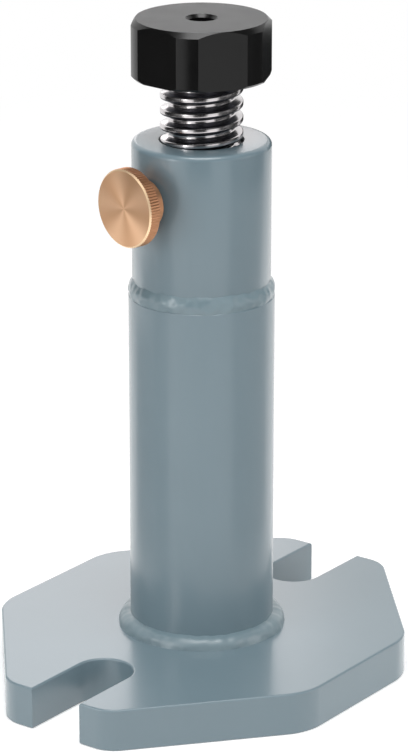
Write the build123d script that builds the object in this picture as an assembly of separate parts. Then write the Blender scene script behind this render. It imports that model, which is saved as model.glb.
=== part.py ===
from build123d import *
import math
import os

# Screw jack for clamping tables: a slotted base plate, a welded column, a coarse
# trapezoidal spindle with a hexagon head, and a knurled thumb screw that locks it.
# Millimetres. The origin is on the column's axis at the plate's underside, +Z is up
# and +X runs along the two slots.

# Base plate
plate_length = 188.0
plate_width = 152.0
plate_thickness = 17.0
plate_end_width = 49.0
plate_side_length = 68.0
plate_end_radius = 12.0
plate_side_radius = 14.0
plate_edge_chamfer = 0.8
slot_width = 23.0
slot_depth = 41.5

# Column tube
tube_diameter = 57.0
tube_wall = 6.0
tube_length = 140.0

# Threaded sleeve on top of the tube
sleeve_diameter = 54.0
sleeve_length = 59.0
sleeve_edge_chamfer = 1.4
sleeve_thread_length = 21.0
sleeve_mouth_chamfer = 4.0
sleeve_relief_clearance = 1.0
spigot_length = 10.0
spigot_clearance = 0.05

# Welds
base_weld_leg = 4.8
base_weld_crown = 0.7
sleeve_weld_depth = 3.0
sleeve_weld_width = 6.0
sleeve_weld_crown = 0.9

# Trapezoidal thread, 32 mm across and 6 mm to the turn, right-handed
thread_diameter = 32.0
thread_pitch = 6.0
thread_angle = 30.0
thread_crest_clearance = 0.5
thread_flank_clearance = 0.15
thread_start = 3.5

# Spindle, drawn as the photograph shows it, part way up
spindle_raised = 25.0
spindle_lift_left = 20.0
stop_gap = 0.3
neck_step = 0.5
neck_length = 9.0
foot_step = 0.25
thread_end_chamfer = 2.5
pilot_diameter = 13.0

# Hexagon head
head_flats = 50.8
head_corners = 54.4
head_height = 22.6
head_top_chamfer = 2.0
head_bottom_chamfer = 1.0
head_turn = 24.8
head_hole_diameter = 10.2
head_hole_mouth = 12.6
head_seat_gap = 0.1

# Stop washer and its socket screw at the spindle's foot
washer_tube_gap = 1.5
washer_thickness = 4.0
washer_clearance = 0.05
stop_screw_diameter = 10.0
stop_screw_length = 20.0
stop_screw_head_diameter = 16.0
stop_screw_head_height = 10.0
stop_screw_socket = 8.0
stop_screw_socket_depth = 5.0
tapping_depth_spare = 3.0

# Thumb screw that locks the spindle, and the soft slug ahead of it
lock_turn = 169.0
lock_drop = 20.0
lock_face_reach = 40.0
lock_rim_diameter = 30.6
lock_rim_thickness = 5.4
lock_front_chamfer = 0.9
lock_back_chamfer = 0.6
lock_shoulder_diameter = 18.4
lock_shoulder_gap = 1.0
lock_shank_diameter = 10.0
lock_shank_clearance = 0.05
knurl_count = 44
knurl_depth = 0.45
slug_length = 4.0
slug_spindle_gap = 0.3

# Heights worked out from the sizes above
tube_top = plate_thickness + tube_length
sleeve_bottom = tube_top - spigot_length
sleeve_top = tube_top + sleeve_length
head_bottom = sleeve_top + spindle_raised
head_top = head_bottom + head_height
nut_low = sleeve_top - sleeve_thread_length
foot_bottom = sleeve_bottom - spindle_lift_left - stop_gap
thread_bottom = nut_low - spindle_lift_left - stop_gap
pilot_length = washer_thickness + 2 * washer_clearance
pilot_bottom = foot_bottom - pilot_length
lock_height = sleeve_top - lock_drop

# Thread radii, shared by the spindle and the sleeve
crest_radius = thread_diameter / 2
root_radius = crest_radius - thread_pitch / 2 - thread_crest_clearance
nut_crest_radius = crest_radius - thread_pitch / 2
nut_root_radius = crest_radius + thread_crest_clearance
relief_radius = crest_radius + sleeve_relief_clearance
neck_radius = root_radius - neck_step
ridge_height = head_bottom - thread_start

# Other radii that pieces share
tube_radius = tube_diameter / 2
bore_radius = tube_radius - tube_wall
sleeve_radius = sleeve_diameter / 2


def turned(points):
    """A solid of revolution about Z from a half outline of (radius, height) points."""
    outline = Polyline(*[(r, 0, z) for r, z in points], close=True)
    return revolve(make_face(outline), axis=Axis.Z)


def rod(radius, low, high):
    """A plain round bar about Z from one height to another."""
    bar = Cylinder(radius, high - low, align=(Align.CENTER, Align.CENTER, Align.MIN))
    return Pos(0, 0, low) * bar


def thread_cutter(inner, outer, inner_width, outer_width, middle, low, high):
    """The space between two ridges of the thread, swept along the helix past both ends.

    middle is a height at which the space is centred over +X. The helix is laid turn by
    turn, so each face of the cutter covers one turn."""
    below = math.ceil((middle - low) / thread_pitch) + 1
    above = math.ceil((high - middle) / thread_pitch) + 1
    start = middle - below * thread_pitch
    one_turn = Edge.make_helix(thread_pitch, thread_pitch, inner)
    turns = [Pos(0, 0, start + thread_pitch * n) * one_turn for n in range(below + above)]
    corners = [
        (inner, 0, start - inner_width / 2),
        (outer, 0, start - outer_width / 2),
        (outer, 0, start + outer_width / 2),
        (inner, 0, start + inner_width / 2),
    ]
    section = Face(Wire.make_polygon(corners, close=True))
    return Solid.sweep(section, Wire(turns), is_frenet=True)


def gap_width(radius):
    """Width of the spindle's thread space at a radius; half the pitch at the pitch line."""
    pitch_radius = crest_radius - thread_pitch / 4
    slope = math.tan(math.radians(thread_angle / 2))
    return thread_pitch / 2 + 2 * (radius - pitch_radius) * slope


def base_plate():
    """Eight-sided flame-cut plate with an open slot in each end."""
    x, y = plate_length / 2, plate_width / 2
    end, side = plate_end_width / 2, plate_side_length / 2
    corners = [
        (x, end), (side, y), (-side, y), (-x, end),
        (-x, -end), (-side, -y), (side, -y), (x, -end),
    ]
    outline = make_face(Polyline(*corners, close=True))
    end_corners = [v for v in outline.vertices() if abs(v.Y) < y / 2]
    outline = fillet(end_corners, plate_end_radius)
    side_corners = [v for v in outline.vertices() if abs(v.Y) > y / 2]
    outline = fillet(side_corners, plate_side_radius)
    slot_middle = x - slot_depth + slot_width / 2
    for way in (1, -1):
        run = Pos(way * (slot_middle + slot_depth / 2), 0) * Rectangle(slot_depth, slot_width)
        outline = outline - run - Pos(way * slot_middle, 0) * Circle(slot_width / 2)
    plate = extrude(outline, plate_thickness)
    rims = plate.faces().sort_by(Axis.Z)
    return chamfer(rims[0].edges() + rims[-1].edges(), plate_edge_chamfer)


def column_tube():
    """Seamless tube that stands on the plate, its top end bevelled for the weld."""
    root = tube_radius - sleeve_weld_depth
    return turned([
        (bore_radius, plate_thickness),
        (tube_radius, plate_thickness),
        (tube_radius, tube_top - sleeve_weld_width / 2),
        (root, tube_top),
        (bore_radius, tube_top),
    ])


def threaded_sleeve():
    """Turned nut of the jack: a spigot in the tube, a threaded bore and a locking hole."""
    weld_root = tube_radius - sleeve_weld_depth
    spigot = bore_radius - spigot_clearance
    body = turned([
        (relief_radius, sleeve_bottom),
        (spigot, sleeve_bottom),
        (spigot, tube_top),
        (weld_root, tube_top),
        (sleeve_radius, tube_top + sleeve_weld_width / 2),
        (sleeve_radius, sleeve_top - sleeve_edge_chamfer),
        (sleeve_radius - sleeve_edge_chamfer, sleeve_top),
        (nut_crest_radius + sleeve_mouth_chamfer, sleeve_top),
        (nut_crest_radius, sleeve_top - sleeve_mouth_chamfer),
        (nut_crest_radius, nut_low),
        (relief_radius, nut_low),
    ])
    inner = nut_crest_radius - thread_crest_clearance
    narrow = thread_pitch - gap_width(nut_root_radius) + 2 * thread_flank_clearance
    wide = thread_pitch - gap_width(inner) + 2 * thread_flank_clearance
    groove = thread_cutter(inner, nut_root_radius, wide, narrow, ridge_height, nut_low, sleeve_top)
    hole = Cylinder(lock_shank_diameter / 2 + lock_shank_clearance, sleeve_diameter,
                    align=(Align.CENTER, Align.CENTER, Align.MIN))
    return body - groove - lock_place() * hole


def base_weld():
    """Fillet weld round the tube's foot, slightly crowned."""
    crown = base_weld_leg / 2 + base_weld_crown
    return turned([
        (tube_radius, plate_thickness),
        (tube_radius + base_weld_leg, plate_thickness),
        (tube_radius + crown, plate_thickness + crown),
        (tube_radius, plate_thickness + base_weld_leg),
    ])


def sleeve_weld():
    """Girth weld that fills the bevel between tube and sleeve and stands slightly proud."""
    half = sleeve_weld_width / 2
    return turned([
        (tube_radius - sleeve_weld_depth, tube_top),
        (tube_radius, tube_top - half),
        ((tube_radius + sleeve_radius) / 2 + sleeve_weld_crown, tube_top),
        (sleeve_radius, tube_top + half),
    ])


def spindle():
    """Trapezoidal screw with a neck for the head and a drilled pilot for the stop washer."""
    pilot = pilot_diameter / 2
    foot = root_radius - foot_step
    body = turned([
        (0, pilot_bottom),
        (pilot, pilot_bottom),
        (pilot, foot_bottom),
        (foot, foot_bottom),
        (foot, thread_bottom),
        (crest_radius - thread_end_chamfer, thread_bottom),
        (crest_radius, thread_bottom + thread_end_chamfer),
        (crest_radius, head_bottom),
        (neck_radius, head_bottom),
        (neck_radius, head_bottom + neck_length),
        (0, head_bottom + neck_length),
    ])
    outer = crest_radius + thread_crest_clearance
    middle = ridge_height - thread_pitch / 2
    groove = thread_cutter(root_radius, outer, gap_width(root_radius), gap_width(outer), middle,
                           thread_bottom, head_bottom)
    hole_top = pilot_bottom + stop_screw_length + tapping_depth_spare
    return body - groove - rod(stop_screw_diameter / 2, pilot_bottom, hole_top)


def hex_head():
    """Turned head with six milled flats, a socket for the spindle's neck and a tapped hole."""
    out = head_corners / 2
    blank = turned([
        (0, head_bottom),
        (out - head_bottom_chamfer, head_bottom),
        (out, head_bottom + head_bottom_chamfer),
        (out, head_top - head_top_chamfer),
        (out - head_top_chamfer, head_top),
        (0, head_top),
    ])
    hexagon = RegularPolygon(head_flats / 2, 6, major_radius=False, rotation=head_turn)
    flats = Pos(0, 0, head_bottom) * extrude(hexagon, head_height)
    hole = head_hole_diameter / 2
    mouth = head_hole_mouth / 2
    socket_top = head_bottom + neck_length + head_seat_gap
    hollow = turned([
        (0, head_bottom),
        (neck_radius, head_bottom),
        (neck_radius, socket_top),
        (hole, socket_top),
        (hole, head_top - mouth + hole),
        (mouth, head_top),
        (0, head_top),
    ])
    return (blank & flats) - hollow


def stop_washer():
    """Washer that meets the sleeve from below and keeps the spindle in the column."""
    out = bore_radius - washer_tube_gap
    hole = pilot_diameter / 2 + washer_clearance
    top = foot_bottom - washer_clearance
    low = top - washer_thickness
    return turned([
        (hole, low),
        (out, low),
        (out, top),
        (hole, top),
    ])


def stop_screw():
    """Socket screw that holds the washer on the pilot."""
    head = stop_screw_head_diameter / 2
    shank = stop_screw_diameter / 2
    foot = pilot_bottom - stop_screw_head_height
    tip = pilot_bottom + stop_screw_length
    body = turned([
        (0, foot),
        (head, foot),
        (head, pilot_bottom),
        (shank, pilot_bottom),
        (shank, tip),
        (0, tip),
    ])
    hexagon = RegularPolygon(stop_screw_socket / 2, 6, major_radius=False)
    socket = extrude(hexagon, stop_screw_socket_depth)
    return body - Pos(0, 0, foot) * socket


def lock_place():
    """Where the lock screw's axis starts, at the column's axis, pointing outwards."""
    return Pos(0, 0, lock_height) * Rot(0, 0, lock_turn) * Rot(0, 90, 0)


def slug_reach():
    """How far the slug's outer end lies from the column's axis."""
    return crest_radius + slug_spindle_gap + slug_length


def knurl_section(height, radius):
    """Outline across the thumb screw's rim at a radius, a notch between every two teeth."""
    notch = 1 - 2 * knurl_depth / lock_rim_diameter
    points = []
    for n in range(2 * knurl_count):
        angle = math.pi * n / knurl_count
        reach = radius * notch ** (n % 2)
        points.append((reach * math.cos(angle), reach * math.sin(angle)))
    return Pos(0, 0, height) * make_face(Polyline(*points, close=True))


def lock_screw():
    """Brass thumb screw turned in one piece, its rim cut with a straight knurl."""
    rim = lock_rim_diameter / 2
    shank = lock_shank_diameter / 2
    shoulder = lock_shoulder_diameter / 2
    rim_back = lock_face_reach - lock_rim_thickness
    shoulder_low = sleeve_radius + lock_shoulder_gap
    stem = turned([
        (0, slug_reach()),
        (shank, slug_reach()),
        (shank, shoulder_low),
        (shoulder, shoulder_low),
        (shoulder, rim_back),
        (0, rim_back),
    ])
    knurled = loft([
        knurl_section(rim_back, rim - lock_back_chamfer),
        knurl_section(rim_back + lock_back_chamfer, rim),
        knurl_section(lock_face_reach - lock_front_chamfer, rim),
        knurl_section(lock_face_reach, rim - lock_front_chamfer),
    ], ruled=True)
    return lock_place() * (stem + knurled)


def lock_slug():
    """Soft slug between the thumb screw and the spindle's ridges."""
    low = crest_radius + slug_spindle_gap
    return lock_place() * rod(lock_shank_diameter / 2, low, slug_reach())


makers = (
    base_plate, column_tube, threaded_sleeve, base_weld, sleeve_weld, spindle,
    hex_head, stop_washer, stop_screw, lock_screw, lock_slug,
)

os.makedirs("parts", exist_ok=True)
for make in makers:
    export_step(make(), os.path.join("parts", make.__name__ + ".step"))
    print("wrote", make.__name__)
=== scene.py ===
# %% [markdown]
# # A screw jack for a machine table
# The jack stands on a slotted plate. A tube and a threaded sleeve are welded on it, and a
# coarse screw with a hexagon head turns in the sleeve. A small brass thumb screw locks it.
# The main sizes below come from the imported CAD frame, so the look keeps to the part.

# %% Load the frame
import math
import bmesh
import bpy
from mathutils import Euler, Matrix, Vector, noise


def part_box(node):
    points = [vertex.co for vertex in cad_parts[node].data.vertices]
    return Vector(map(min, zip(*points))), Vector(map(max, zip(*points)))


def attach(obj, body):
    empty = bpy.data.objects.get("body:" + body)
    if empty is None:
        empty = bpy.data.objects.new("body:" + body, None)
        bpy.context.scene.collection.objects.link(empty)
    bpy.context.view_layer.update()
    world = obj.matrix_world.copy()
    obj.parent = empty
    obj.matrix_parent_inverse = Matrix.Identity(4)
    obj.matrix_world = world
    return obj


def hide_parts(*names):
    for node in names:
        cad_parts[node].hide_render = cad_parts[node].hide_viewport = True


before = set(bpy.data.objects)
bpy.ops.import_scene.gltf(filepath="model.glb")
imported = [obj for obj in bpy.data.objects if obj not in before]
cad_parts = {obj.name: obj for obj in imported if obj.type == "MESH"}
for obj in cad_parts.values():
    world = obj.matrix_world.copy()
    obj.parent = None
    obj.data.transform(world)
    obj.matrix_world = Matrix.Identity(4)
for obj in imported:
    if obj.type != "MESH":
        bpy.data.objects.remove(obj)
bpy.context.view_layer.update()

MM = 0.001
print("nodes:", sorted(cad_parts))

# %% [markdown]
# ## Sizes
# The boxes of the CAD nodes give most sizes: a box's high corner is a radius or a height.
# Only what a box can't tell, such as a corner's radius or the thread's depth, is given
# beside the piece that needs it.

# %% Sizes read from the frame
plate_low, plate_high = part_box("base_plate")
tube_low, tube_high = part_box("column_tube")
sleeve_low, sleeve_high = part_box("threaded_sleeve")
spindle_low, spindle_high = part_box("spindle")
head_low, head_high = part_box("hex_head")
knob_low, knob_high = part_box("lock_screw")
foot_weld_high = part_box("base_weld")[1]
girth_weld_low, girth_weld_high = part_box("sleeve_weld")

plate_top = plate_high.z
tube_radius = tube_high.x
sleeve_radius = sleeve_high.x
crest_radius = spindle_high.x
print("tube radius %.1f mm, sleeve radius %.1f mm" % (tube_radius / MM, sleeve_radius / MM))

# %% [markdown]
# ## Colour and nodes
# A colour is written the way a paint card gives it, as an sRGB hex value, and one function
# turns it to the linear numbers that Blender mixes. Another adds one node with its settings.

# %% Colour and node helpers
def linear(code):
    """The linear RGBA of an sRGB hex value."""
    values = [int(code[i:i + 2], 16) / 255 for i in (1, 3, 5)]
    return [v / 12.92 if v <= 0.04045 else ((v + 0.055) / 1.055) ** 2.4 for v in values] + [1.0]


def add_node(tree, kind, inputs=None, **settings):
    """One node of a kind, with its settings, and its inputs given as values or as sockets."""
    node = tree.nodes.new("ShaderNode" + kind)
    for name, value in settings.items():
        setattr(node, name, value)
    for key, value in (inputs or {}).items():
        if isinstance(value, bpy.types.NodeSocket):
            tree.links.new(value, node.inputs[key])
        else:
            node.inputs[key].default_value = value
    return node


def new_material(name, **sockets):
    """A material, its node tree and its shader; Base_Color=... sets the socket Base Color."""
    material = bpy.data.materials.new(name)
    material.use_nodes = True
    shader = material.node_tree.nodes["Principled BSDF"]
    for key, value in sockets.items():
        shader.inputs[key.replace("_", " ")].default_value = value
    print("material", name)
    return material, material.node_tree, shader


# %% [markdown]
# ## Enamel on steel
# The plate, column and welds are sprayed together with a blue-grey machine enamel. Sprayed
# enamel dries with a slight orange peel about 2 mm wide, which breaks up its reflections.
# The colour is a little uneven, so a broad noise moves it by a few steps of brightness. The
# clear skin on top is Blender's coat: smoother on the plate, the column and the upper weld,
# and hazier on the foot weld, where spatter and the bead's ripples roughen it.

# %% The enamel
cloud_width = 35.7 * MM
peel_width = 2.0 * MM
peel_depth = 0.05 * MM


def enamel(name, paint, shade, peel, haze):
    """Sprayed enamel of two close colours, with an orange peel and a clear, hazy skin."""
    material, tree, shader = new_material(name, Roughness=0.45, Coat_Weight=1.0,
                                          Coat_Roughness=haze)
    place = add_node(tree, "TexCoord").outputs["Object"]
    cloud = add_node(tree, "TexNoise", {"Vector": place, "Scale": 1 / cloud_width,
                                        "Detail": 3.0})
    blend = add_node(tree, "Mix", {0: cloud.outputs["Fac"], 6: linear(paint), 7: linear(shade)},
                     data_type="RGBA")
    tree.links.new(blend.outputs[2], shader.inputs["Base Color"])
    fine = add_node(tree, "TexNoise", {"Vector": place, "Scale": 1 / peel_width, "Detail": 2.0})
    bump = add_node(tree, "Bump", {"Height": fine.outputs["Fac"], "Strength": peel,
                                   "Distance": peel_depth})
    tree.links.new(bump.outputs["Normal"], shader.inputs["Normal"])
    return material


blue_grey, paler, palest = "#647881", "#6a7e87", "#6d8289"
plate_enamel = enamel("blue_grey_enamel_on_plate", blue_grey, paler, peel=0.25, haze=0.22)
column_enamel = enamel("blue_grey_enamel_on_turned_steel", blue_grey, paler, peel=0.2, haze=0.22)
girth_enamel = enamel("blue_grey_enamel_on_girth_weld", blue_grey, palest, peel=0.6, haze=0.22)
foot_enamel = enamel("blue_grey_enamel_on_foot_weld", blue_grey, palest, peel=1.0, haze=0.36)

# %% [markdown]
# ## Bright thread and black head
# A rolled thread is burnished by the dies, so it is the brightest steel on the jack. Its
# roughness is low enough to show the dark and light parts of the room as upright streaks.
# The undersides of its ridges get a darker steel, painted shade where they face down. The head is
# blackened in a hot salt bath, which leaves a thin satin black with little shine. Its turning
# marks are really some 0.2 mm apart. That is too fine to show, so they are drawn 1.1 mm apart.

# %% Steel and black oxide
wave_length = math.tau / 20  # what Blender's wave texture repeats after, at a scale of 1
bloom_width = 11.1 * MM
mark_spacing = 1.1 * MM
mark_depth = 0.05 * MM

bright_steel = new_material("rolled_bright_steel", Base_Color=linear("#d9d5d6"),
                            Metallic=1.0, Roughness=0.2)[0]
# The darker steel is painted shade for the undersides of the thread's ridges.
painted_shade_steel = new_material("steel_flank_painted_shade", Base_Color=linear("#3a3c42"),
                          Metallic=1.0, Roughness=0.3)[0]
plain_steel = new_material("turned_plain_steel", Base_Color=linear("#a8a9ab"),
                           Metallic=1.0, Roughness=0.35)[0]


def black_oxide():
    """Steel blackened in a hot salt bath: near black, satin, with turning marks on top."""
    material, tree, shader = new_material("hot_black_oxide_on_steel",
                                          Base_Color=linear("#101010"), Specular_IOR_Level=0.3)
    place = add_node(tree, "TexCoord").outputs["Object"]
    bloom = add_node(tree, "TexNoise", {"Vector": place, "Scale": 1 / bloom_width,
                                        "Detail": 5.0})
    rough = add_node(tree, "MapRange", {"Value": bloom.outputs["Fac"],
                                        "To Min": 0.18, "To Max": 0.30})
    tree.links.new(rough.outputs["Result"], shader.inputs["Roughness"])
    rings = add_node(tree, "TexWave", {"Vector": place, "Scale": wave_length / mark_spacing,
                                       "Distortion": 0.4},
                     wave_type="RINGS", rings_direction="Z")
    bump = add_node(tree, "Bump", {"Height": rings.outputs["Fac"], "Strength": 0.06,
                                   "Distance": mark_depth})
    tree.links.new(bump.outputs["Normal"], shader.inputs["Normal"])
    return material


black_steel = black_oxide()

# %% [markdown]
# ## Turned red brass
# The thumb screw's face was cut by a tool that spiralled across it. The ring-shaped marks
# spread a highlight sideways, so the face shows the light as a bow tie. In Blender that is
# anisotropy, and its direction comes from a UV map that follows the rings. A wave round the
# face also paints five faint darker sectors on it, as painted shade in its reflection.
# The rim's front chamfer takes the palest brass, as a painted highlight.

# %% Brass
painted_sector_count = 5
painted_sector_shade = "#dcae88"


def turned_brass(name, code, rough, spread=0.0):
    """Red brass; spread stretches a highlight along turning marks and adds sectors of painted
    shade.
    """
    material, tree, shader = new_material(name, Base_Color=linear(code), Metallic=1.0,
                                          Roughness=rough, Anisotropic=spread)
    if spread:
        along = add_node(tree, "Tangent", direction_type="UV_MAP", uv_map="rings")
        tree.links.new(along.outputs["Tangent"], shader.inputs["Tangent"])
        place = add_node(tree, "UVMap", uv_map="rings").outputs["UV"]
        # Five darker sectors round the face: painted shade in its reflection.
        sectors = add_node(tree, "TexWave", {"Vector": place, "Phase Offset": 2.0,
                                             "Scale": painted_sector_count * wave_length},
                           bands_direction="X")
        blend = add_node(tree, "Mix", {0: sectors.outputs["Fac"], 6: linear(code),
                                       7: linear(painted_sector_shade)}, data_type="RGBA")
        tree.links.new(blend.outputs[2], shader.inputs["Base Color"])
    return material


brass_face = turned_brass("faced_red_brass", "#f4c8a2", 0.42, spread=0.58)
brass_rim = turned_brass("knurled_red_brass", "#eaac82", 0.36)
# The palest brass is a painted highlight for the rim's front chamfer.
brass_edge_highlight = turned_brass("red_brass_edge_painted_highlight", "#ffdfb8", 0.5)
slug_brass = turned_brass("soft_brass_slug", "#cfa56a", 0.35)

# %% [markdown]
# ## Making and finishing a piece
# Most pieces are turned, so one function spins a half outline about the upright axis. One
# more turns the finished bmesh into an object, smooths it, keeps the edges that are meant to
# be crisp, rounds them a little where a width is given, and hangs it on its CAD body.

# %% Turning and rounding
hair = 0.1 * MM  # two places closer than this count as one
seam_gap = 0.005 * MM  # points closer than this are joined
turned_gap = 0.001 * MM  # the same for what was just turned, whose rings can be small
overlap = 1.0 * MM  # how deep one turned length runs into the next


def outline_edges(bm, points, closed=True):
    """A wire of edges in the XZ plane through points given as (radius, height)."""
    verts = [bm.verts.new((r, 0, z)) for r, z in points]
    pairs = list(zip(verts, verts[1:])) + ([(verts[-1], verts[0])] if closed else [])
    return verts, [bm.edges.new(pair) for pair in pairs]


def merge(bm, distance=seam_gap):
    """Joins the points that lie closer together than a distance."""
    bmesh.ops.remove_doubles(bm, verts=bm.verts[:], dist=distance)


def turn(bm, points, steps=128, closed=True):
    """A half outline spun all the way round, added to bm."""
    verts, edges = outline_edges(bm, points, closed)
    bmesh.ops.spin(bm, geom=verts + edges, axis=(0, 0, 1), cent=(0, 0, 0), angle=math.tau,
                   steps=steps, use_merge=True)
    merge(bm, turned_gap)


def arc(centre, radius, start, end, count):
    """Points of an arc as (radius, height), from one angle to another in degrees."""
    angles = [math.radians(start + (end - start) * n / count) for n in range(count + 1)]
    return [(centre[0] + radius * math.cos(a), centre[1] + radius * math.sin(a)) for a in angles]


def round_off(bm, parts, amount, segments, affect="VERTICES"):
    """Rounds the given corners of an outline, or the given edges, by an amount."""
    bmesh.ops.bevel(bm, geom=parts, offset=amount, affect=affect, segments=segments,
                    profile=0.5, material=-1)


def of_kind(parts, kind):
    """The parts of one kind, points or edges, among those that an operator made."""
    return [part for part in parts if isinstance(part, kind)]


# %% Finishing
def link_mesh(bm, name, materials):
    """A bmesh made into an object of the scene, with its materials."""
    mesh = bpy.data.meshes.new(name)
    bm.to_mesh(mesh)
    bm.free()
    for material in materials:
        mesh.materials.append(material)
    made = bpy.data.objects.new(name, mesh)
    bpy.context.collection.objects.link(made)
    return made


def finish_piece(bm, name, body, nodes, materials, crisp=30, edge=0.0):
    """The object of a finished bmesh, riding on a CAD body in place of some of its nodes."""
    bmesh.ops.recalc_face_normals(bm, faces=bm.faces[:])
    piece = link_mesh(bm, name, materials)
    piece.data.shade_smooth()
    piece.data.set_sharp_from_angle(angle=math.radians(crisp))
    if edge:
        bevel = piece.modifiers.new("edge", "BEVEL")
        bevel.width = edge
        bevel.segments = 2
        bevel.limit_method = "ANGLE"
        bevel.angle_limit = math.radians(crisp)
        bevel.harden_normals = True
    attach(piece, body)
    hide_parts(*nodes)
    print(name, "faces", len(piece.data.polygons))
    return piece


# %% [markdown]
# ## The base plate
# A flame-cut plate is one outline, pushed up to its thickness. The outline starts as straight
# runs, a vertex bevel rounds its corners and the slots' inner ends, and an edge bevel takes
# the sharpness off the rims, as a sander does before painting.

# %% Base plate
plate_end_half = 24.5 * MM
plate_side_half = 34.0 * MM
plate_end_corner = 5.5 * MM
plate_side_corner = 7.4 * MM
plate_edge_round = 0.8 * MM
slot_half = 11.5 * MM
slot_depth = 41.5 * MM
slot_end = plate_high.x - slot_depth


def plate_outline():
    """The plate's corners in order, with a slot cut into each end."""
    x, y = plate_high.x, plate_high.y
    right = [(x, slot_half), (x, plate_end_half), (plate_side_half, y)]
    left = [(-a, b) for a, b in reversed(right)]
    half = [(slot_end, slot_half)] + right + left + [(-slot_end, slot_half)]
    return half + [(a, -b) for a, b in reversed(half)]


def corners_where(bm, picks):
    """The outline's corners that picks chooses by their distance from the middle lines."""
    return [v for v in bm.verts if picks(abs(v.co.x), abs(v.co.y))]


bm = bmesh.new()
bm.faces.new([bm.verts.new((x, y, plate_low.z)) for x, y in plate_outline()])
round_off(bm, corners_where(bm, lambda x, y: y > plate_high.y - hair), plate_side_corner, 10)
round_off(bm, corners_where(bm, lambda x, y: abs(y - plate_end_half) < hair), plate_end_corner, 8)
round_off(bm, corners_where(bm, lambda x, y: abs(x - slot_end) < hair), slot_half, 16)
merge(bm)
raised = bmesh.ops.extrude_face_region(bm, geom=bm.faces[:])["geom"]
bmesh.ops.translate(bm, vec=(0, 0, plate_top), verts=of_kind(raised, bmesh.types.BMVert))
rims = [e for e in bm.edges if abs(e.verts[0].co.z - e.verts[1].co.z) < hair]
round_off(bm, rims, plate_edge_round, 3, affect="EDGES")
plate = finish_piece(bm, "plate", "column", ["base_plate"], [plate_enamel],
                     crisp=40)
even = plate.modifiers.new("even", "WEIGHTED_NORMAL")
even.keep_sharp = True

# %% [markdown]
# ## Tube and sleeve
# Both are turned shells. The tube's top and the sleeve's shoulder are bevelled for the girth
# weld. The sleeve's outer rim has a 2 mm round. Its bore is plain and leaves the screw room to
# turn, because the sleeve's own thread can't be seen past the screw and is left to the CAD.

# %% Tube
tube_wall = 6.0 * MM
weld_prep = 3.0 * MM
bore_radius = tube_radius - tube_wall
weld_root = tube_radius - weld_prep
weld_middle = (girth_weld_low.z + girth_weld_high.z) / 2
bm = bmesh.new()
turn(bm, [(bore_radius, tube_low.z), (tube_radius, tube_low.z), (tube_radius, girth_weld_low.z),
          (weld_root, weld_middle), (bore_radius, weld_middle)])
finish_piece(bm, "tube", "column", ["column_tube"], [column_enamel])

# %% Sleeve
sleeve_edge = 2.0 * MM
spigot_clearance = 0.05 * MM
screw_clearance = 0.5 * MM
spigot_radius = bore_radius - spigot_clearance
thread_room = crest_radius + screw_clearance
rim_centre = (sleeve_radius - sleeve_edge, sleeve_high.z - sleeve_edge)
bm = bmesh.new()
turn(bm, [(thread_room, sleeve_low.z), (spigot_radius, sleeve_low.z),
          (spigot_radius, weld_middle), (weld_root, weld_middle),
          (sleeve_radius, girth_weld_high.z)]
     + arc(rim_centre, sleeve_edge, 0, 90, 8)
     + [(thread_room, sleeve_high.z)])
finish_piece(bm, "sleeve", "column", ["threaded_sleeve"], [column_enamel])

# %% [markdown]
# ## Weld beads
# A weld bead is a row of frozen puddles. Its outline bulges between two toes, a little below
# the steel's surface so that no gap shows, and is spun like the rest. Then each point moves
# by a small wave along the bead, one ripple to each puddle, and by a noise that makes the
# toes wander as a hand-held torch does. A fixed seed keeps the noise the same on each run.

# %% A bead
bead_steps = 16
puddle_radius = 2.2 * MM
sway = 0.7  # how far the puddles crowd and spread, three times round the bead
noise_round = 9  # patches of noise in one radian
noise_height = 3.0 * MM


def bead(name, node, paint, root, toes, bulge, ripple, wander, seed):
    """A weld bead: a bulged outline between two toes, rippled round and uneven at its toes."""
    low, high = Vector(toes[0]), Vector(toes[1])
    out = Vector((high.y - low.y, low.x - high.x)).normalized()
    shares = [n / bead_steps for n in range(bead_steps + 1)]
    points = [low.lerp(high, s) + out * bulge * math.sin(math.pi * s) for s in shares]
    bm = bmesh.new()
    turn(bm, [root] + [tuple(p) for p in points], steps=360)
    for vert in bm.verts:
        angle = math.atan2(vert.co.y, vert.co.x)
        east, north = math.cos(angle), math.sin(angle)
        away = Vector((math.hypot(vert.co.x, vert.co.y) - root[0], vert.co.z - root[1]))
        if away.length < hair:
            continue
        puddle = math.sin(angle * root[0] / puddle_radius + sway * math.sin(3 * angle + seed))
        spot = Vector((east * noise_round, north * noise_round, vert.co.z / noise_height + seed))
        push = away.normalized() * (ripple * puddle + wander * noise.noise(spot))
        vert.co += Vector((east * push.x, north * push.x, push.y))
    finish_piece(bm, name, "column", [node], [paint], crisp=80)


# %% Two beads
sunk = 0.4 * MM
below_groove = 0.9 * MM
above_groove = 1.3 * MM
girth_low = girth_weld_low.z - below_groove
girth_high = girth_weld_high.z + above_groove
bead("foot_weld", "base_weld", foot_enamel, (tube_radius - sunk, plate_top - sunk),
     [(foot_weld_high.x, plate_top - sunk / 2), (tube_radius - sunk / 2, foot_weld_high.z)],
     bulge=1.5 * MM, ripple=0.04 * MM, wander=0.3 * MM, seed=1.0)
bead("girth_weld", "sleeve_weld", girth_enamel, (weld_root, weld_middle),
     [(tube_radius - sunk, girth_low), (sleeve_radius - sunk, girth_high)],
     bulge=1.1 * MM, ripple=0.06 * MM, wander=0.4 * MM, seed=4.0)

# %% [markdown]
# ## The spindle's thread
# A thread is one pitch of its outline carried round and up at once. Blender's spin does that
# when it is given a lift for each step. A cut at each end gives it flat faces. Only the faces
# that look down, the undersides of the ridges, take the darker steel, as painted shade.

# %% Thread outline
pitch = 6.0 * MM
root_clearance = 0.5 * MM
flank_slope = math.tan(math.radians(15))
root_radius = crest_radius - pitch / 2 - root_clearance


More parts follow.
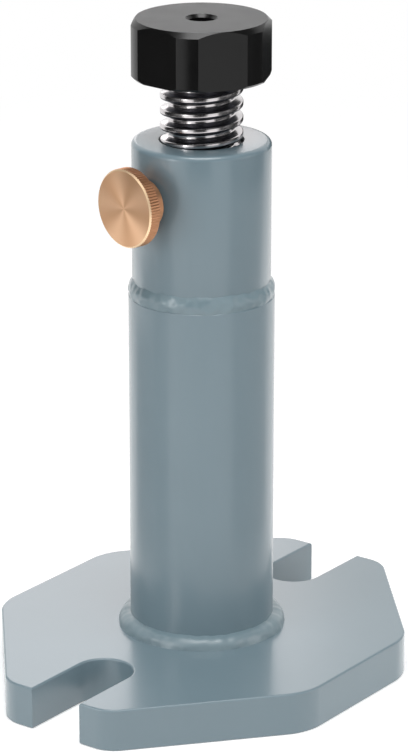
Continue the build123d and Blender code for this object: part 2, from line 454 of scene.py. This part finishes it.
def thread_outline():
    """One pitch of the trapezoidal outline, from the middle of one root to the next."""
    pitch_line = crest_radius - pitch / 4
    crest_half = pitch / 4 - (crest_radius - pitch_line) * flank_slope
    root_half = pitch / 4 + (pitch_line - root_radius) * flank_slope
    return [(root_radius, -pitch / 2), (root_radius, -root_half), (crest_radius, -crest_half),
            (crest_radius, crest_half), (root_radius, root_half), (root_radius, pitch / 2)]


print("thread root radius %.1f mm" % (root_radius / MM))

# %% Screw
thread_steps = 72
ridge_drop = 3.5 * MM
ridge_round = 0.6 * MM
pilot_radius = 6.5 * MM
pilot_length = 4.1 * MM
foot_radius = 12.25 * MM
foot_length = 48.0 * MM
facing_down = -0.1  # a face looks down where the upright part of its normal is below this
washer_seat = spindle_low.z + pilot_length
thread_low = washer_seat + foot_length
turns = math.ceil((head_low.z - thread_low) / pitch) + 2
first = head_low.z - ridge_drop + pitch - turns * pitch
bm = bmesh.new()
verts, edges = outline_edges(bm, [(r, z + first) for r, z in thread_outline()], closed=False)
ridge = [v for v in verts if abs(abs(v.co.z - first) - pitch / 2) > hair]
round_off(bm, ridge, ridge_round, 4)
bmesh.ops.spin(bm, geom=bm.verts[:] + bm.edges[:], axis=(0, 0, 1), cent=(0, 0, 0),
               dvec=(0, 0, pitch / thread_steps), angle=math.tau * turns,
               steps=thread_steps * turns)
merge(bm)
for level, up in ((head_low.z, 1), (thread_low, -1)):
    bmesh.ops.bisect_plane(bm, geom=bm.verts[:] + bm.edges[:] + bm.faces[:],
                           plane_co=(0, 0, level), plane_no=(0, 0, up), clear_outer=True)
bmesh.ops.holes_fill(bm, edges=[e for e in bm.edges if e.is_boundary], sides=0)
turn(bm, [(0, spindle_low.z), (pilot_radius, spindle_low.z), (pilot_radius, washer_seat),
          (foot_radius, washer_seat), (foot_radius, thread_low + overlap),
          (0, thread_low + overlap)])
bmesh.ops.recalc_face_normals(bm, faces=bm.faces[:])
# Faces that look down take the darker steel: painted shade on the ridges' undersides.
for face in bm.faces:
    face.material_index = int(face.normal.z < facing_down)
finish_piece(bm, "screw", "spindle", ["spindle"], [bright_steel, painted_shade_steel],
             crisp=50)

# %% [markdown]
# ## The hexagon head
# The head is turned first and milled after, so each flat meets the turned chamfer in a
# curve. One ring of points round the head, straight along the flats and round at the corners,
# is extruded level by level, and each point takes its height from its own distance to the
# axis. That puts a row of edges right on the curve.

# %% Ring round the head
head_flat = 25.4 * MM
head_round = 27.2 * MM
head_turn = math.radians(24.8)
flat_steps = 24
corner_steps = 8


def head_ring(bm):
    """One ring round the head: six straight flats with a turned corner between them."""
    corner = math.acos(head_flat / head_round)
    points = []
    for side in range(6):
        middle = head_turn + math.pi / 6 + side * math.pi / 3
        for n in range(flat_steps):
            along = math.tan(corner) * (2 * n / flat_steps - 1)
            points.append((middle + math.atan(along), head_flat * math.sqrt(1 + along * along)))
        for n in range(corner_steps):
            share = n / corner_steps
            points.append((middle + corner + (math.pi / 3 - 2 * corner) * share, head_round))
    verts = [bm.verts.new((r * math.cos(a), r * math.sin(a), head_low.z)) for a, r in points]
    return [bm.edges.new(pair) for pair in zip(verts, verts[1:] + verts[:1])]


def lift_ring(bm, edges, place):
    """Extrudes a ring of edges and moves each new point to place(radius) = (radius, height)."""
    made = bmesh.ops.extrude_edge_only(bm, edges=edges)["geom"]
    for vert in of_kind(made, bmesh.types.BMVert):
        radius = math.hypot(vert.co.x, vert.co.y)
        wide, high = place(radius)
        vert.co = Vector((vert.co.x * wide / radius, vert.co.y * wide / radius, high))
    return of_kind(made, bmesh.types.BMEdge)


# %% Hexagon head
top_chamfer = 2.0 * MM
bottom_chamfer = 1.0 * MM
hole_radius = 5.1 * MM
hole_mouth = 6.3 * MM
edge_round = 0.25 * MM
neck_radius = 12.0 * MM
neck_length = 9.1 * MM
top_circle = head_round - top_chamfer
low_circle = head_round - bottom_chamfer
socket_top = head_low.z + neck_length
bm = bmesh.new()
outer = head_ring(bm)
below = lift_ring(bm, outer, lambda r: (min(r, low_circle), head_low.z))
below = lift_ring(bm, below, lambda r: (neck_radius, head_low.z))
below = lift_ring(bm, below, lambda r: (r, socket_top))
below = lift_ring(bm, below, lambda r: (hole_radius, socket_top))
below = lift_ring(bm, below, lambda r: (r, head_high.z - hole_mouth + hole_radius))
lift_ring(bm, below, lambda r: (hole_mouth, head_high.z))
for vert in {v for e in outer for v in e.verts}:
    radius = math.hypot(vert.co.x, vert.co.y)
    vert.co.z += max(0.0, radius - low_circle)
side = lift_ring(bm, outer, lambda r: (r, head_high.z - r + top_circle))
top = lift_ring(bm, side, lambda r: (top_circle, head_high.z))
lift_ring(bm, top, lambda r: (hole_mouth, head_high.z))
merge(bm)
finish_piece(bm, "head", "spindle", ["hex_head"], [black_steel], crisp=12,
             edge=edge_round)

# %% [markdown]
# ## The thumb screw
# The thumb screw is turned upright at the origin and then laid over into its place. Its rim
# is a ring of fine teeth with a chamfer turned on both ends, made like the head: every
# point's height follows its radius, so the notches run out on the chamfer.

# %% Thumb screw
lock_turn = math.radians(169)
lock_height = (knob_low.z + knob_high.z) / 2
lock_reach = 40.0 * MM
rim_radius = (knob_high.z - knob_low.z) / 2
rim_thickness = 5.4 * MM
front_chamfer = 0.7 * MM
back_chamfer = 0.6 * MM
shoulder_radius = 9.2 * MM
shoulder_gap = 1.0 * MM
shank_radius = 5.0 * MM
shank_end = 20.3 * MM
knurl_count = 88
knurl_depth = 0.2 * MM
tooth = (0.5, 0, 0.5, 1)  # how much of the depth is cut at each of a tooth's four points
pole = 0.01 * MM  # the radius that the rings of points close in to

rim_back = lock_reach - rim_thickness
face_radius = rim_radius - front_chamfer
back_radius = rim_radius - back_chamfer
shoulder_start = sleeve_radius + shoulder_gap


def lay_over(bm):
    """Turns what was made along +Z to the thumb screw's direction and lifts it to its height."""
    heading = Euler((0, math.pi / 2, lock_turn)).to_matrix().to_4x4()
    to_place = Matrix.Translation((0, 0, lock_height)) @ heading
    bmesh.ops.transform(bm, matrix=to_place, verts=bm.verts[:])


bm = bmesh.new()
ring = bmesh.ops.create_circle(bm, cap_ends=False, segments=len(tooth) * knurl_count,
                               radius=rim_radius)["verts"]
for n, vert in enumerate(sorted(ring, key=lambda v: math.atan2(v.co.y, v.co.x))):
    depth = knurl_depth * tooth[n % len(tooth)]
    vert.co *= 1 - depth / rim_radius
    vert.co.z = rim_back + max(0, back_chamfer - depth)
teeth = bm.edges[:]
back = lift_ring(bm, teeth, lambda r: (back_radius, rim_back))
lift_ring(bm, back, lambda r: (pole, rim_back))
front = lift_ring(bm, teeth, lambda r: (r, lock_reach - max(0, r - face_radius)))
front = lift_ring(bm, front, lambda r: (face_radius, lock_reach))
# The faces round the front chamfer take the palest brass: a painted highlight.
for face in {f for e in front for f in e.link_faces}:
    face.material_index = 1
merge(bm)
turn(bm, [(0, shank_end), (shank_radius, shank_end), (shank_radius, shoulder_start),
          (shoulder_radius, shoulder_start), (shoulder_radius, rim_back + overlap),
          (0, rim_back + overlap)], steps=64)
lay_over(bm)
finish_piece(bm, "thumb_screw", "lock", ["lock_screw"], [brass_rim, brass_edge_highlight],
             crisp=25)

# %% [markdown]
# ## The thumb screw's face
# The face is a disc of its own, so that its UV map can follow the rings: U runs round the
# disc and V runs outwards. A face that spans the seam keeps U in one piece.

# %% Thumb screw's face
bm = bmesh.new()
turn(bm, [(2 * pole, lock_reach), (face_radius / 2, lock_reach), (face_radius, lock_reach)],
     steps=96, closed=False)
rings = bm.loops.layers.uv.new("rings")
for face in bm.faces:
    middle = face.calc_center_median()
    heading = math.atan2(middle.y, middle.x)
    for loop in face.loops:
        x, y = loop.vert.co.xy
        angle = heading + math.remainder(math.atan2(y, x) - heading, math.tau)
        loop[rings].uv = (angle / math.tau, math.hypot(x, y) / rim_radius)
lay_over(bm)
finish_piece(bm, "thumb_screw_face", "lock", [], [brass_face])

# %% [markdown]
# ## Hidden pieces
# The stop washer, its screw and the slug sit inside the column. Their CAD nodes stay as they
# are and only take a finish.

# %% Finishes of the hidden pieces
hidden = {"stop_washer": plain_steel, "stop_screw": black_steel, "lock_slug": slug_brass}
for node, material in hidden.items():
    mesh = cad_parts[node].data
    mesh.materials.clear()
    mesh.materials.append(material)
    print(node, "takes", material.name)

# %% [markdown]
# ## Floor and room
# The jack was photographed on white. A pale floor keeps the jack's soft shadow near it, and
# fades to the plain white of the room from 0.3 to 0.9 m away, so no horizon shows. The room
# lights the jack dimly, and is plain white only where it is seen.

# %% White where seen
white = linear("#ffffff")


def white_where_seen(tree, lit, seen):
    """Shows seen where a view, a mirror or clear glass looks, and lights the rest by lit."""
    path = add_node(tree, "LightPath").outputs
    direct = add_node(tree, "Math", {0: path["Is Camera Ray"], 1: path["Is Glossy Ray"]},
                      operation="MAXIMUM")
    any_way = add_node(tree, "Math", {0: direct.outputs[0], 1: path["Is Transmission Ray"]},
                       operation="MAXIMUM")
    return add_node(tree, "MixShader", {0: any_way.outputs[0], 1: lit, 2: seen}).outputs[0]


# %% Floor
floor_reach = 6.0
floor_gap = 0.05 * MM
fade_start = 0.3
fade_end = 0.9


def studio_floor():
    """A matt floor that glows a little near the jack and turns plain white farther away."""
    material, tree, shader = new_material("white_studio_floor", Base_Color=linear("#efefef"),
                                          Roughness=0.9, Specular_IOR_Level=0.0)
    glow = add_node(tree, "Emission", {"Color": white, "Strength": 0.35})
    near = add_node(tree, "AddShader", {0: shader.outputs[0], 1: glow.outputs[0]})
    far = add_node(tree, "Emission", {"Color": white, "Strength": 1.0})
    place = add_node(tree, "TexCoord").outputs["Object"]
    away = add_node(tree, "VectorMath", {0: place}, operation="LENGTH")
    fade = add_node(tree, "MapRange", {"Value": away.outputs["Value"], "From Min": fade_start,
                                       "From Max": fade_end})
    sweep = add_node(tree, "MixShader", {0: fade.outputs["Result"], 1: near.outputs[0],
                                         2: far.outputs[0]})
    shown = white_where_seen(tree, shader.outputs[0], sweep.outputs[0])
    tree.links.new(shown, tree.nodes["Material Output"].inputs["Surface"])
    return material


bm = bmesh.new()
bmesh.ops.create_grid(bm, x_segments=1, y_segments=1, size=floor_reach)
bmesh.ops.translate(bm, vec=(0, 0, plate_low.z - floor_gap), verts=bm.verts[:])
floor = link_mesh(bm, "floor", [studio_floor()])

# %% Room
room_light = 0.44
world = bpy.data.worlds.new("room")
world.use_nodes = True
bpy.context.scene.world = world
room = world.node_tree
dim = room.nodes["Background"]
dim.inputs["Color"].default_value = white
dim.inputs["Strength"].default_value = room_light
bright = add_node(room, "Background", {"Color": white, "Strength": 1.0})
shown = white_where_seen(room, dim.outputs[0], bright.outputs[0])
room.links.new(shown, room.nodes["World Output"].inputs["Surface"])
print("room light", room_light)

# %% [markdown]
# ## Camera and lamps
# The camera was fitted to the outlines of plate, column and head in the photograph, and
# stands 1.45 m away, 19 degrees up. One soft lamp hangs overhead, two stand left and right
# of the camera, and a weak one behind the jack gives its upper faces their sheen.

# %% Camera
camera_place = Vector((-1070.5, -790.0, 576.95)) * MM
camera_way = Vector((0.7613, 0.5610, -0.3251))
focal_pixels = 3590
frame_height_pixels = 754
film_size = 36
camera = bpy.data.objects.new("camera", bpy.data.cameras.new("camera"))
camera.data.sensor_width = film_size
camera.data.lens = film_size * focal_pixels / frame_height_pixels
camera.location = camera_place
camera.rotation_euler = camera_way.to_track_quat("-Z", "Y").to_euler()
bpy.context.collection.objects.link(camera)
bpy.context.scene.camera = camera
toward_camera = math.atan2(camera_place.y, camera_place.x)
print("camera stands at %.1f degrees" % math.degrees(toward_camera))

# %% Lamps
jack_middle = Vector((0, 0, 0.15))


def around(degrees_right, distance, height):
    """A place seen from the jack: degrees to the right of the camera, distance and height."""
    angle = toward_camera + math.radians(degrees_right)
    return Vector((distance * math.cos(angle), distance * math.sin(angle), height))


def lamp(name, place, size, watts, tint="#ffffff"):
    """A square softbox that faces the middle of the jack."""
    light = bpy.data.lights.new(name, "AREA")
    light.size = size
    light.energy = watts
    light.color = linear(tint)[:3]
    box = bpy.data.objects.new(name, light)
    box.location = place
    box.rotation_euler = (jack_middle - place).to_track_quat("-Z", "Y").to_euler()
    bpy.context.collection.objects.link(box)
    print(name, "%.2f W" % watts)


lamp("overhead_softbox", around(0, 0.4, 1.3), size=0.7, watts=10.8)
lamp("left_softbox", around(-55, 1.0, 0.35), size=0.5, watts=3.0)
lamp("right_softbox", around(75, 1.0, 0.35), size=0.5, watts=2.5)
lamp("back_softbox", around(-175, 1.1, 0.48), size=0.36, watts=0.55, tint="#fff9fa")

# %% [markdown]
# ## Cards
# Dark and pale cards stand close round the jack. They aren't seen and cast no shadow: they
# only give bright and black metal something to mirror, as a photographer's flags do.

# %% Cards
card_distance = 0.15
card_top = 0.55


def card(name, degrees_right, width, low, high, material, distance=card_distance):
    """A card that faces the jack from low to high and shows only in mirrored light."""
    bm = bmesh.new()
    bmesh.ops.create_grid(bm, x_segments=1, y_segments=1, size=0.5)
    bmesh.ops.scale(bm, vec=(width, high - low, 1), verts=bm.verts[:])
    angle = toward_camera + math.radians(degrees_right)
    stand = Matrix.Translation(around(degrees_right, distance, (low + high) / 2))
    turn_to = Euler((math.pi / 2, 0, angle - math.pi / 2)).to_matrix().to_4x4()
    bmesh.ops.transform(bm, matrix=stand @ turn_to, verts=bm.verts[:])
    flag = link_mesh(bm, name, [material])
    flag.visible_camera = False
    flag.visible_diffuse = False
    flag.visible_shadow = False
    print(name, "%.3f m wide" % width)


black = new_material("black_card", Base_Color=linear("#101214"), Roughness=0.9)[0]
grey = new_material("grey_card", Base_Color=linear("#e6e6e6"), Roughness=0.9)[0]
card("front_card", -4, 0.097, 0.175, card_top, black)
card("upper_left_card", -36, 0.08, 0.26, card_top, black)
card("upper_right_card", 30, 0.09, 0.26, card_top, black)
card("right_card", 80, 0.21, 0.16, card_top, black)
card("right_low_card", 80, 0.21, 0.0, 0.16, grey)
card("left_card", -62, 0.067, 0.16, card_top, black)
card("left_low_card", -62, 0.067, 0.0, 0.16, grey)
card("far_left_card", -95, 0.12, 0.168, card_top, black)
card("far_left_low_card", -95, 0.12, 0.0, 0.10, grey)
card("back_right_card", 150, 0.12, 0.187, 0.235, black, distance=0.12)
card("sleeve_card", -170, 0.024, 0.237, 0.268, grey, distance=0.14)
card("head_card", 180, 0.16, 0.275, 0.42, grey)

# %% [markdown]
# ## Finishing the scene
# The standard view transform shows the colours as they were mixed.

# %% Render settings and the end
bpy.context.scene.view_settings.view_transform = "Standard"
